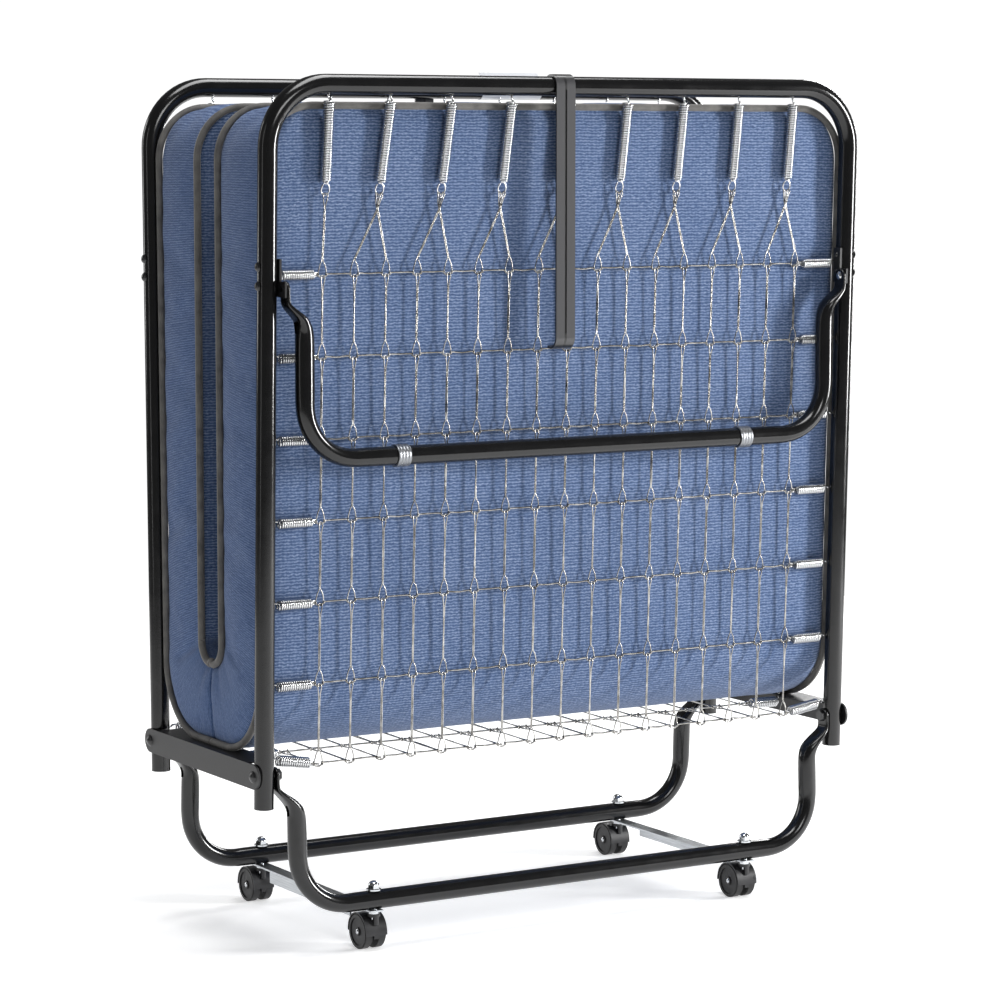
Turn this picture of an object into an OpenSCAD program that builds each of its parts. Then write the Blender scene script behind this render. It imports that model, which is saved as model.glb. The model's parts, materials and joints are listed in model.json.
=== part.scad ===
// Folding cot, stored upright: two hinged link-spring frames around a folded mattress,
// on a rolling centre base.  Origin: floor level, under the middle of the base.
// +Z up, -Y the front frame's side, X along the width of the bed.

/* [Overall] */
// Distance between the two posts of a frame, centre to centre
post_gap = 778; // [600:2:900]
// Height of a frame's top bar above its fold pivot
frame_h = 760; // [680:5:900]
// Distance between the front and rear fold pivots
pivot_gap = 267.4; // [255:0.2:330]
// Height of the fold pivots above the floor
pivot_h = 212; // [195:1:240]
// Outward lean of the front frame when folded, degrees
front_lean = 1.66; // [0.2:0.02:3]
// Outward lean of the rear frame when folded, degrees
rear_lean = 0.68; // [0.2:0.02:3]

/* [Frame tube] */
// Outer diameter of every tube
tube_d = 22; // [20:0.5:25]
// Wall of every tube
tube_wall = 1.2; // [1:0.1:2]
// Bend radius of the frame's corners, on the centre line
corner_r = 70; // [50:1:90]
// How far the posts run below the pivot
post_tail = 36; // [30:1:40]

/* [Link springs] */
// Number of lengthwise links across the bed
link_count = 17; // [17]
// Spacing of the lengthwise links
link_pitch = 39.8; // [30:0.1:46]
// Number of cross wires on a frame
row_count = 7; // [5:1:8]
// Spacing of the cross wires
row_pitch = 91; // [70:1:92]
// Height of the lowest cross wire above the pivot
row_base = 6.5; // [5:0.5:9]
// Link wire diameter
wire_d = 2.6; // [2:0.2:3]
// Outer diameter of the coil springs
coil_d = 11; // [9:0.5:11]
// Length of a side spring's coil
side_coil = 41; // [30:1:45]
// Length of an end spring's coil
head_coil = 89; // [60:1:95]
// Distance of the link plane behind the posts' centre line
deck_set = 5.8; // [5.8:0.1:7]

/* [Mattress] */
// Width of the mattress
pad_w = 770; // [600:2:880]
// Gap between the folded halves
pad_slot = 47; // [30:1:60]
// Height of the fold's inner bottom above the pivot
fold_top = 109; // [90:1:140]
// Radius of the fold's outer corners
fold_r = 84; // [60:1:95]
// Radius of the mattress's plan corners
pad_corner = 58; // [30:1:80]

/* [Legs] */
// Distance of a leg inside its post, centre to centre
leg_inset = 39; // [36:1:55]
// Bend radius of the legs, on the centre line
leg_r = 60; // [45:1:70]
// Thickness of a leg's flattened end
tab_t = 4; // [3:0.5:4]
// Width of a leg's flattened end
tab_w = 19; // [16:1:20]
// Outward offset of the base legs' bars
base_splay = 6.4; // [0:0.2:15]
// Height of the base bars' centre above the floor
bar_h = 58.5; // [56:0.5:62]
// Height of the end leg's pivot above the fold pivot
end_pivot = 538.6; // [430:0.2:545]
// How far the end leg hangs in front of the posts' centre line
end_set = 13; // [13:0.5:15]
// Opened angle of the end legs, degrees
end_open = 96; // [90:1:98]

/* [Brackets and bolts] */
// Sheet thickness of the side brackets
bracket_t = 2.5; // [2:0.5:3]
// Height of the side brackets
bracket_h = 28; // [24:1:32]
// Width of the brackets' top flange
flange_w = 35; // [25:1:38]
// Fold pivot bolt diameter
pivot_d = 8; // [6:0.5:9]
// Small bolt diameter
bolt_d = 6; // [5:0.5:6]
// Radial clearance of every running fit
fit = 0.06; // [0.02:0.01:0.1]

/* [Casters] */
// Distance between the caster stems along the bars
caster_gap = 510; // [380:2:560]
// Wheel diameter
wheel_d = 40; // [36:1:40]
// Width over both wheels of a caster
wheel_w = 27; // [24:1:32]
// How far the wheels trail behind the stem
trail = 15; // [12:1:16]
// Stem diameter
stem_d = 8; // [6:0.5:8]

/* [Locking brace] */
// Width of a brace
brace_w = 25; // [20:1:28]
// Thickness of a brace
brace_t = 2.5; // [2:0.1:3]
// Sideways place of a brace
brace_x = -19; // [-30:1:10]

/* [Hidden] */
$fn = 48;

tube_r = tube_d / 2;
post_x = post_gap / 2;
half_gap = pivot_gap / 2;
wire_r = wire_d / 2;
coil_r = coil_d / 2;
hook_r = 0.9;
hook_hole_r = 1.5;
hook_sink = 1;
touch = 0.3;
head_count = (link_count + 1) / 2;
link_x = [for (i = [0:link_count - 1]) (i - (link_count - 1) / 2) * link_pitch];
row_z = [for (i = [0:row_count - 1]) row_base + i * row_pitch];
row_top = row_z[row_count - 1];
head_x = [for (i = [1:head_count]) post_gap * (i / (head_count + 1) - 0.5)];
hook_x = post_x - sqrt(tube_r * tube_r - deck_set * deck_set);
coil_x = post_x - tube_r - 7.5;
row_hook_lift = 8;
coil_top = frame_h - tube_r - 7;
link_eye = row_top + 14;
bead_r = 2.4;
hinge_gap = 21;
hinge_bolt_z = [end_pivot + 3, end_pivot + 3 + hinge_gap];
plate_t = 2.5;
plate_rim = 8.5;
pin_r = bolt_d / 2;
head_h = 3.4;
leg_tab_in = post_x - tube_r - 0.3;
end_tab_in = post_x - tube_r - plate_t - 0.3;
leg_x = post_x - leg_inset;
tab_tail = 16;
neck_drop = 44;
neck_lap = 2;
base_drop = sqrt(pow(pivot_h - bar_h, 2) + pow(base_splay, 2));
splay_angle = asin(base_splay / base_drop);
clip_r = tube_r + 1.6;
foot_gap = 0.2;
end_drop = (pivot_h - end_set - clip_r - foot_gap) / sin(end_open);
clip_w = 16;
clip_x = leg_x - 119;
bar_y = half_gap + base_splay;
stem_x = caster_gap / 2;
angle_t = 2;
angle_leg = 15;
hood_gap = 0.8;
hood_t = 1.4;
hood_r = wheel_d / 2 + hood_gap + hood_t;
hood_top = wheel_d / 2 + hood_r;
boss_h = 3;
stem_hold = 6;
under_bar = bar_h - tube_r;
collar_r = 6;
web_w = 6;
disc_w = (wheel_w - web_w) / 2 - 0.4;
axle_r = 2;
pad_bottom = bracket_h / 2 + 1.2;
pad_back = tube_r + 2;
pad_top = frame_h - 18;
split_gap = 2;
deck_low = row_base;
centre_rows = [-pivot_gap / 6, pivot_gap / 6];
brace_in = tube_r + 0.1;
hook_end = 298;
crossbar_y = -end_set - end_drop * sin(end_open);
crossbar_z = end_pivot - end_drop * cos(end_open) - frame_h;
brace_len = norm([crossbar_y, crossbar_z]);
label_x = 93;
label_w = 84;

// ---- placing ----

// Puts children built on an upright frame, pivot at the origin, onto the front frame
module on_front() {
    translate([0, -half_gap, pivot_h]) rotate([front_lean, 0, 0]) children();
}

// The same for the rear frame, which is the front one mirrored
module on_rear() {
    mirror([0, 1, 0]) translate([0, -half_gap, pivot_h]) rotate([rear_lean, 0, 0]) children();
}

// An end leg or a brace hangs plumb from a leaning frame
module hang(z, y, lean) {
    translate([0, y, z]) rotate([-lean, 0, 0]) children();
}

module both_sides() {
    children();
    mirror([1, 0, 0]) children();
}

// ---- shared shapes ----

module rod(p, q, r) {
    v = q - p;
    length = norm(v);
    translate(p)
        rotate([0, acos(v.z / length), atan2(v.y, v.x)])
            cylinder(h = length, r = r, $fn = 16);
}

module x_rod(x1, x2, y, z, r) {
    translate([min(x1, x2), y, z]) rotate([0, 90, 0]) cylinder(h = abs(x2 - x1), r = r);
}

module ring_2d() {
    difference() {
        circle(r = tube_r);
        circle(r = tube_r - tube_wall);
    }
}

module tube(length) {
    linear_extrude(length) ring_2d();
}

// Quarter bend in the XZ plane, from straight up at x = 0 to straight along -X
module quarter_bend(r) {
    translate([-r, 0, 0]) rotate([90, 0, 0]) rotate_extrude(angle = 90) translate([r, 0]) ring_2d();
}

// Domed rivet or bolt head on the YZ plane, bulging along +X
module dome_head(r, h) {
    ball = (r * r + h * h) / (2 * h);
    rotate([0, 90, 0]) rotate_extrude() intersection() {
        translate([0, h - ball]) circle(r = ball);
        square([r, h]);
    }
}

// Flat plate in the YZ plane with round ends, from x = 0 to x = t
module strip_plate(points, r, t) {
    rotate([90, 0, 90]) linear_extrude(t) hull() for (p = points) translate(p) circle(r = r, $fn = 32);
}

// ---- frames ----

module hook_holes() {
    for (z = row_z) x_rod(hook_x - 3, hook_x + 4, deck_set, hook_z(z), hook_hole_r);
}

function hook_z(z) = z < row_hook_lift ? z + row_hook_lift : z;

module frame_tube() {
    difference() {
        union() {
            both_sides() {
                translate([post_x, 0, -post_tail]) tube(post_tail + frame_h - corner_r);
                translate([post_x, 0, frame_h - corner_r]) quarter_bend(corner_r);
            }
            translate([-post_x + corner_r, 0, frame_h]) rotate([0, 90, 0]) tube(post_gap - 2 * corner_r);
        }
        both_sides() {
            x_rod(post_x - tube_d, post_x + tube_d, 0, 0, pivot_d / 2 + fit);
            for (z = hinge_bolt_z) x_rod(post_x - tube_d, post_x + tube_d, 0, z, pin_r + fit);
            hook_holes();
        }
        for (x = head_x)
            translate([x, deck_set, frame_h - tube_d]) cylinder(h = tube_d, r = hook_hole_r);
    }
}

module post_plugs() {
    both_sides() translate([post_x, 0, -post_tail - 1]) {
        cylinder(h = 1, r = tube_r);
        translate([0, 0, 1]) cylinder(h = 9, r = tube_r - tube_wall - 0.05);
    }
}

// Lengthwise links and cross wires
module link_deck() {
    for (x = link_x) rod([x, deck_set, row_base - bead_r], [x, deck_set, row_top + bead_r], wire_r);
    for (z = row_z)
        x_rod(-coil_x + side_coil + touch, coil_x - side_coil - touch, deck_set, z, wire_r - 0.3);
}

// Straight line from a head spring's hole towards the middle of its pair of links
function pair_x(i) = i == 0 ? link_x[0] : (link_x[2 * i - 1] + link_x[2 * i]) / 2;
function head_line(i, z) =
    head_x[i] + (pair_x(i) - head_x[i]) * (frame_h - tube_r - z) / (frame_h - tube_r - link_eye);
apex_z = coil_top - head_coil - 22;

module head_links() {
    for (i = [0:head_count - 1]) {
        top = [head_line(i, apex_z), deck_set, apex_z];
        for (k = i == 0 ? [0] : [2 * i - 1, 2 * i])
            rod([link_x[k], deck_set, row_top + bead_r + touch], top, wire_r - 0.2);
        translate(top) rotate([90, 0, 0]) cylinder(h = wire_d * 1.4, r = wire_r + 0.6, center = true);
    }
}

module head_springs() {
    for (i = [0:head_count - 1]) {
        top = [head_line(i, coil_top), deck_set, coil_top];
        foot = [head_line(i, coil_top - head_coil), deck_set, coil_top - head_coil];
        rod([head_x[i], deck_set, frame_h - tube_r + 3], top, hook_r);
        rod(top, foot, coil_r);
        rod(foot, [head_line(i, apex_z), deck_set, apex_z + wire_d + touch], hook_r);
    }
}

module side_springs() {
    both_sides() for (z = row_z) {
        outer = [coil_x, deck_set, hook_z(z)];
        inner = [coil_x - side_coil, deck_set, z + (hook_z(z) - z) * 0.2];
        rod([hook_x + hook_sink, deck_set, hook_z(z)], outer, hook_r);
        rod(outer, inner, coil_r);
    }
}

// Ear plates that carry an end leg
module hinge_plates() {
    both_sides() difference() {
        union() {
            translate([post_x - tube_r - plate_t, -end_set - plate_rim, end_pivot - plate_rim])
                cube([plate_t, end_set + plate_rim + 4, 2 * plate_rim]);
            translate([post_x - tube_r - plate_t, -plate_rim, end_pivot - plate_rim])
                cube([plate_t, plate_rim + 4, hinge_gap + 3 + 2 * plate_rim]);
        }
        x_rod(post_x - tube_d, post_x, -end_set, end_pivot, pin_r + fit);
        for (z = hinge_bolt_z) x_rod(post_x - tube_d, post_x, 0, z, pin_r + fit);
    }
}

module hinge_bolts() {
    both_sides() for (z = hinge_bolt_z) {
        x_rod(post_x - tube_r - plate_t, post_x + tube_r, 0, z, pin_r);
        translate([post_x + tube_r, 0, z]) dome_head(pin_r + 2.5, head_h);
        translate([post_x - tube_r - plate_t, 0, z]) mirror([1, 0, 0]) dome_head(pin_r + 0.5, 2.2);
    }
}

// ---- mattress ----

// One half: leaning outer face, plumb inner face, in the front half's place
module mattress_half(lean) {
    low = pivot_h + fold_top;
    high = pivot_h + pad_top;
    face = function (z) -half_gap + pad_back / cos(lean) - (z - pivot_h) * tan(lean);
    intersection() {
        rotate([90, 0, 90]) linear_extrude(pad_w, center = true)
            polygon([[face(low), low], [-pad_slot / 2, low], [-pad_slot / 2, high], [face(high), high]]);
        plan_corners(low - 1, high);
    }
}

// Rounds the two upper plan corners
module plan_corners(low, high) {
    w = pad_w / 2 - pad_corner;
    rotate([90, 0, 0]) linear_extrude(2 * pivot_gap, center = true) union() {
        translate([-pad_w / 2, low]) square([pad_w, high - low - pad_corner]);
        translate([-w, low]) square([2 * w, high - low]);
        for (sx = [-1, 1]) translate([sx * w, high - pad_corner]) circle(r = pad_corner);
    }
}

module mattress_fold() {
    outer = half_gap - pad_back;
    low = pivot_h + pad_bottom;
    color("#4a6da8") rotate([90, 0, 90]) linear_extrude(pad_w, center = true) union() {
        translate([-outer, low + fold_r])
            square([2 * outer, pivot_h + fold_top - split_gap - low - fold_r]);
        translate([-outer + fold_r, low]) square([2 * (outer - fold_r), fold_r]);
        for (sy = [-1, 1]) translate([sy * (outer - fold_r), low + fold_r]) intersection() {
            circle(r = fold_r);
            translate([sy > 0 ? 0 : -fold_r, -fold_r]) square([fold_r, fold_r + 0.01]);
        }
    }
}

module mattress_front() {
    color("#4a6da8") mattress_half(front_lean);
}

module mattress_rear() {
    color("#4a6da8") mirror([0, 1, 0]) mattress_half(rear_lean);
}

// ---- legs ----

// U leg hanging from the origin's height: flattened ends, necks, two bends and a bar
module u_leg(tab_x, drop) {
    difference() {
        union() {
            both_sides() {
                translate([tab_x - tab_t, 0, 0]) rotate([0, 90, 0]) cylinder(h = tab_t, r = tab_w / 2);
                translate([tab_x - tab_t, -tab_w / 2, -tab_tail]) cube([tab_t, tab_w, tab_tail]);
                hull() {
                    translate([tab_x - tab_t, -tab_w / 2, -tab_tail]) cube([tab_t, tab_w, 0.5]);
                    translate([leg_x, 0, -neck_drop - neck_lap])
                        cylinder(h = neck_lap, r = tube_r - 0.1, $fn = 32);
                }
                translate([leg_x, 0, -drop + leg_r]) tube(drop - leg_r - neck_drop);
                translate([leg_x, 0, -drop + leg_r]) mirror([0, 0, 1]) quarter_bend(leg_r);
            }
            translate([-leg_x + leg_r, 0, -drop]) rotate([0, 90, 0]) tube(2 * (leg_x - leg_r));
        }
        both_sides() x_rod(tab_x - tab_t - 2, tab_x + 2, 0, 0, pin_hole(tab_x));
    }
}

function pin_hole(tab_x) = tab_x == leg_tab_in ? pivot_d / 2 + fit : pin_r + fit;

module base_leg() {
    color("#1c1c1e") difference() {
        translate([0, -half_gap, pivot_h]) rotate([-splay_angle, 0, 0]) u_leg(leg_tab_in, base_drop);
        for (sx = [-1, 1])
            translate([sx * stem_x, -bar_y, bar_h - tube_d]) cylinder(h = 2 * tube_d, r = stem_d / 2 + fit);
    }
}

module end_leg() {
    color("#1c1c1e") u_leg(end_tab_in, end_drop);
}

module leg_pins() {
    color("#b9bcc0") both_sides() {
        x_rod(end_tab_in - tab_t, end_tab_in + plate_t + 0.3, 0, 0, pin_r);
        translate([end_tab_in - tab_t, 0, 0]) mirror([1, 0, 0]) dome_head(pin_r + 2, 2.4);
    }
}

module foot_clips() {
    color("#8a8c8f") both_sides() translate([clip_x - clip_w / 2, 0, -end_drop]) rotate([0, 90, 0])
        difference() {
            cylinder(h = clip_w, r = clip_r);
            translate([0, 0, -1]) cylinder(h = clip_w + 2, r = tube_r + 0.02);
        }
}

// ---- base ----

module side_bracket() {
    x0 = post_x + tube_r + 0.2;
    color("#1c1c1e") difference() {
        union() {
            translate([x0, 0, pivot_h]) {
                for (sy = [-1, 1]) translate([0, sy * half_gap, 0]) rotate([0, 90, 0])
                    cylinder(h = bracket_t, r = bracket_h / 2);
                translate([0, -half_gap, -bracket_h / 2]) cube([bracket_t, pivot_gap, bracket_h]);
            }
            translate([x0 + bracket_t - flange_w, -half_gap + tube_r + 6,
                    pivot_h + bracket_h / 2 - bracket_t + 0.6])
                cube([flange_w, pivot_gap - 2 * (tube_r + 6), bracket_t - 0.6]);
        }
        for (sy = [-1, 1]) x_rod(x0 - 2, x0 + bracket_t + 2, sy * half_gap, pivot_h, pivot_d / 2 + fit);
        for (y = centre_rows) translate([x0 + bracket_t - flange_w + 5, y, pivot_h])
            cylinder(h = bracket_h, r = hook_hole_r);
    }
}

module pivot_bolts() {
    x0 = post_x + tube_r + 0.2 + bracket_t;
    color("#26262a") both_sides() for (sy = [-1, 1]) translate([0, sy * half_gap, pivot_h]) {
        x_rod(leg_tab_in - tab_t, x0, 0, 0, pivot_d / 2);
        translate([x0, 0, 0]) dome_head(pivot_d / 2 + 3, 4);
        translate([leg_tab_in - tab_t, 0, 0]) mirror([1, 0, 0]) rotate([0, 90, 0])
            cylinder(h = 4, r = pivot_d * 0.85, $fn = 6);
    }
}

module cross_bar() {
    color("#b9bcc0") difference() {
        translate([stem_x - 8, -bar_y - 9, under_bar - angle_t]) union() {
            cube([17, 2 * bar_y + 18, angle_t]);
            translate([17 - angle_t, 0, angle_t - angle_leg]) cube([angle_t, 2 * bar_y + 18, angle_leg]);
        }
        for (sy = [-1, 1]) translate([stem_x, sy * bar_y, 0]) cylinder(h = bar_h, r = stem_d / 2 + fit);
        for (sy = [-1, 1]) translate([stem_x + 5, sy * bar_y - wheel_d, 0])
            cube([10, 2 * wheel_d, under_bar - angle_t]);
    }
}

module at_casters() {
    for (sx = [-1, 1], sy = [-1, 1]) translate([sx * stem_x, sy * bar_y, 0]) children();
}

module caster_stems() {
    color("#c4c7cb") at_casters() {
        translate([0, 0, hood_top - stem_hold])
            cylinder(h = bar_h + tube_r + 5 - hood_top + stem_hold, r = stem_d / 2);
        translate([0, 0, hood_top + 0.4])
            cylinder(h = under_bar - angle_t - hood_top - 0.4, r = collar_r, $fn = 6);
    }
}

module cap_nuts() {
    color("#c4c7cb") at_casters() translate([0, 0, bar_h + tube_r]) difference() {
        union() {
            cylinder(h = 1.6, r = stem_d / 2 + 4.5);
            cylinder(h = 6, r = stem_d / 2 + 3, $fn = 6);
            translate([0, 0, 6]) rotate([0, -90, 0]) dome_head(stem_d / 2 + 2.4, 5);
        }
        translate([0, 0, -1]) cylinder(h = 6.5, r = stem_d / 2 + fit);
    }
}

module centre_links() {
    reach = half_gap - 15;
    color("#c9ccd0") translate([0, 0, pivot_h + deck_low]) {
        for (x = link_x) rod([x, -reach, 0], [x, reach, 0], wire_r);
        for (y = centre_rows)
            x_rod(-coil_x + side_coil + touch, coil_x - side_coil - touch, y, 0, wire_r - 0.3);
    }
}

module centre_springs() {
    hole_x = post_x + tube_r + 0.2 + bracket_t - flange_w + 5;
    low = pivot_h + deck_low - 1.2;
    color("#c9ccd0") both_sides() for (y = centre_rows) {
        rod([hole_x, y, pivot_h + bracket_h / 2], [hole_x, y, low], hook_r);
        rod([hole_x, y, low], [coil_x - 8, y, low], hook_r);
        rod([coil_x - 8, y, low], [coil_x - side_coil, y, pivot_h + deck_low - 0.6], coil_r);
    }
}

// ---- braces and label ----

// Part of a ring between two angles no more than 180 degrees apart
module arc_2d(r1, r2, a1, a2) {
    far = 3 * r2;
    intersection() {
        difference() {
            circle(r = r2);
            circle(r = r1);
        }
        polygon([[0, 0], for (a = [a1, (a1 + a2) / 2, a2]) far * [cos(a), sin(a)]]);
    }
}

// Locking brace, hung on the top bar at the origin, front side towards -Y
module brace() {
    face = -brace_in - brace_t;
    groove = 0.8;
    lap = 4;
    color("#2b2b2d") difference() {
        translate([brace_x - brace_w / 2, 0, 0]) rotate([90, 0, 90]) {
            linear_extrude(brace_w) union() {
                arc_2d(brace_in, brace_in + brace_t, -15, 90);
                arc_2d(brace_in, brace_in + brace_t, 90, 180);
                translate([face, -brace_len]) square([brace_t, brace_len]);
                translate([0, -brace_len]) arc_2d(brace_in, brace_in + brace_t, 180, hook_end);
            }
            translate([-brace_in - 0.5, -brace_len + 10, 2]) cube([1.9, 33, brace_w - 4]);
            translate([-brace_in, -brace_len + 10.5, 4]) cube([3, 2.5, brace_w - 8]);
        }
        translate([brace_x - 1, face - 1, -brace_len + lap]) cube([2, 1 + groove, brace_len - 2 * lap]);
    }
}

// Blank film label folded round the rear top bar
module blank_label() {
    r = tube_r + 0.05;
    color("#e4e5e7") on_rear() translate([label_x - label_w / 2, 0, frame_h]) rotate([90, 0, 90])
        union() {
            linear_extrude(label_w) difference() {
                circle(r = r + 0.5);
                circle(r = r);
            }
            translate([-0.5, r + 0.2, 0]) cube([1, 10, label_w]);
        }
}

// ---- casters ----

// Hood with its stem socket, stem axis at the origin, wheels trailing to +Y
module caster_hood() {
    color("#19191b") difference() {
        union() {
            translate([-wheel_w / 2, trail, wheel_d / 2]) rotate([90, 0, 90]) difference() {
                cylinder(h = wheel_w, r = hood_r);
                translate([0, 0, -1]) cylinder(h = wheel_w + 2, r = hood_r - hood_t);
                translate([-hood_r - 1, -2 * hood_r - 2, -1])
                    cube([2 * hood_r + 2, 2 * hood_r, wheel_w + 2]);
            }
            translate([-web_w / 2, trail, wheel_d / 2]) rotate([90, 0, 90]) intersection() {
                cylinder(h = web_w, r = hood_r - 0.2);
                translate([-hood_r, -6, 0]) cube([2 * hood_r, 2 * hood_r, web_w]);
            }
            translate([0, 0, wheel_d / 2 + 10]) intersection() {
                cylinder(h = hood_top - wheel_d / 2 - 10, r = stem_d / 2 + 3);
                translate([-(web_w / 2 + 0.01), -stem_d, 0]) cube([web_w + 0.02, 2 * stem_d, hood_r]);
            }
            translate([0, 0, hood_top - boss_h]) cylinder(h = boss_h, r = stem_d / 2 + 3);
        }
        translate([0, 0, hood_top - stem_hold - 0.5]) cylinder(h = 20, r = stem_d / 2 + fit);
        x_rod(-wheel_w, wheel_w, trail, wheel_d / 2, axle_r + fit);
    }
}

module caster_axle() {
    color("#c4c7cb") {
        x_rod(-wheel_w / 2, wheel_w / 2, trail, wheel_d / 2, axle_r);
        for (s = [0, 1]) mirror([s, 0, 0]) translate([wheel_w / 2, trail, wheel_d / 2])
            dome_head(axle_r + 0.8, 1);
    }
}

module caster_wheels() {
    color("#232325") for (s = [0, 1]) mirror([s, 0, 0])
        translate([web_w / 2 + 0.4, trail, wheel_d / 2]) rotate([0, 90, 0]) difference() {
            union() {
                cylinder(h = disc_w, r = wheel_d / 2 - 0.8);
                translate([0, 0, 1]) cylinder(h = disc_w - 2, r = wheel_d / 2);
            }
            translate([0, 0, -1]) cylinder(h = disc_w + 2, r = axle_r);
            translate([0, 0, disc_w - 1.2]) difference() {
                cylinder(h = 2, r = wheel_d / 2 - 4);
                translate([0, 0, -1]) cylinder(h = 4, r = axle_r + 3);
            }
        }
}

// Stems are numbered 1 front left, 2 front right, 3 rear left, 4 rear right
module at_caster(i) {
    sx = i == 1 || i == 3 ? -1 : 1;
    sy = i < 3 ? -1 : 1;
    translate([sx * stem_x, sy * bar_y, 0]) children();
}

// ---- output ----

mirror([1, 0, 0]) side_bracket();  // side_bracket_left
side_bracket();  // side_bracket_right
base_leg();  // base_leg_front
mirror([0, 1, 0]) base_leg();  // base_leg_rear
mirror([1, 0, 0]) cross_bar();  // cross_bar_left
cross_bar();  // cross_bar_right
pivot_bolts();
caster_stems();
cap_nuts();
centre_links();
centre_springs();
mattress_fold();

on_front() color("#1c1c1e") frame_tube();  // front_frame
on_front() color("#111112") post_plugs();  // front_post_plugs
on_front() color("#c9ccd0") link_deck();  // front_links
on_front() color("#c9ccd0") head_links();  // front_head_links
on_front() color("#d6d8da") head_springs();  // front_head_springs
on_front() color("#d6d8da") side_springs();  // front_side_springs
on_front() color("#1c1c1e") hinge_plates();  // front_hinge_plates
on_front() color("#26262a") hinge_bolts();  // front_hinge_bolts
mattress_front();

on_rear() color("#1c1c1e") frame_tube();  // rear_frame
on_rear() color("#111112") post_plugs();  // rear_post_plugs
on_rear() color("#c9ccd0") link_deck();  // rear_links
on_rear() color("#c9ccd0") head_links();  // rear_head_links
on_rear() color("#d6d8da") head_springs();  // rear_head_springs
on_rear() color("#d6d8da") side_springs();  // rear_side_springs
on_rear() color("#1c1c1e") hinge_plates();  // rear_hinge_plates
on_rear() color("#26262a") hinge_bolts();  // rear_hinge_bolts
mattress_rear();
blank_label();

on_front() hang(end_pivot, -end_set, front_lean) end_leg();  // front_end_leg
on_front() hang(end_pivot, -end_set, front_lean) leg_pins();  // front_leg_pins
on_front() hang(end_pivot, -end_set, front_lean) foot_clips();  // front_foot_clips
on_rear() hang(end_pivot, -end_set, rear_lean) end_leg();  // rear_end_leg
on_rear() hang(end_pivot, -end_set, rear_lean) leg_pins();  // rear_leg_pins
on_rear() hang(end_pivot, -end_set, rear_lean) foot_clips();  // rear_foot_clips
on_front() hang(frame_h, 0, front_lean) brace();  // front_brace
on_rear() hang(frame_h, 0, rear_lean) brace();  // rear_brace

at_caster(1) caster_hood();  // caster_hood_1
at_caster(2) caster_hood();  // caster_hood_2
at_caster(3) caster_hood();  // caster_hood_3
at_caster(4) caster_hood();  // caster_hood_4
at_caster(1) caster_axle();  // caster_axle_1
at_caster(2) caster_axle();  // caster_axle_2
at_caster(3) caster_axle();  // caster_axle_3
at_caster(4) caster_axle();  // caster_axle_4
at_caster(1) caster_wheels();  // caster_wheels_1
at_caster(2) caster_wheels();  // caster_wheels_2
at_caster(3) caster_wheels();  // caster_wheels_3
at_caster(4) caster_wheels();  // caster_wheels_4
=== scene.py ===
import json
import math
import random

import bmesh
import bpy
import numpy as np
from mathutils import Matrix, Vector, noise


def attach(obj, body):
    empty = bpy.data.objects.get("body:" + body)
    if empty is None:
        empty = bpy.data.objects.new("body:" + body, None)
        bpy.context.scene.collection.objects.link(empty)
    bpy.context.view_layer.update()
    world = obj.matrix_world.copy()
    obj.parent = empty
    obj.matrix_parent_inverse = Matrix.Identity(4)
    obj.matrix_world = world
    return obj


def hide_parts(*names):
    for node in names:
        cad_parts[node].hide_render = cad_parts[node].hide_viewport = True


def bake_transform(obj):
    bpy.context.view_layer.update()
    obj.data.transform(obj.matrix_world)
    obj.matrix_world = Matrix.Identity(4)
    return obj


scene = bpy.context.scene
random.seed(11)

# camera, metres and degrees
view = {"eye": (-2.03164, -3.37968, 0.90688), "yaw": 30.953, "pitch": 6.103, "lens": 119.92}

cameraData = bpy.data.cameras.new("camera")
cameraData.lens = view["lens"]
cameraData.sensor_width = 36
cameraData.clip_end = 80
camera = bpy.data.objects.new("camera", cameraData)
camera.location = view["eye"]
camera.rotation_euler = (math.radians(90 - view["pitch"]), 0, math.radians(-view["yaw"]))
scene.collection.objects.link(camera)
scene.camera = camera

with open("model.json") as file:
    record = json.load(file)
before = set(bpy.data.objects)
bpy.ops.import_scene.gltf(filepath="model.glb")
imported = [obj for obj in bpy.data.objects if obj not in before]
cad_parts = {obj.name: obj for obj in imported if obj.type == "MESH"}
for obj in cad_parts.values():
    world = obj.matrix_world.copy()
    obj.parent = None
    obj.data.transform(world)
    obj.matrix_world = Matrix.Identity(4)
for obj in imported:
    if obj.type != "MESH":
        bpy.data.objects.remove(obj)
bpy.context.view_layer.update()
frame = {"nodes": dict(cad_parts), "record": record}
print("frame loaded")

# where things are, mm, as in the part
layout = {
    "pivotGap": 267.4, "pivotHeight": 212, "frameHeight": 760, "postGap": 778, "tubeRadius": 11,
    "lean": {"front": 1.66, "rear": 0.68}, "deck": 5.8,
    "linkCount": 17, "linkPitch": 39.8, "rowCount": 7, "rowPitch": 91, "rowBase": 6.5,
}
sides = ("front", "rear")


def onFrame(side, x, y, z):  # local mm on a leaning frame to metres
    lean = math.radians(layout["lean"][side])
    across = -layout["pivotGap"] / 2 + y * math.cos(lean) - z * math.sin(lean)
    up = layout["pivotHeight"] + y * math.sin(lean) + z * math.cos(lean)
    return Vector((x, across if side == "front" else -across, up)) / 1000


def frameAxes(side):
    up = (onFrame(side, 0, 0, 1000) - onFrame(side, 0, 0, 0)).normalized()
    out = (onFrame(side, 0, -1000, 0) - onFrame(side, 0, 0, 0)).normalized()
    return up, out


# materials


def toLinear(code):
    parts = [int(code[i:i + 2], 16) / 255 for i in (1, 3, 5)]
    return [p / 12.92 if p <= 0.04045 else ((p + 0.055) / 1.055) ** 2.4 for p in parts] + [1]


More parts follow.
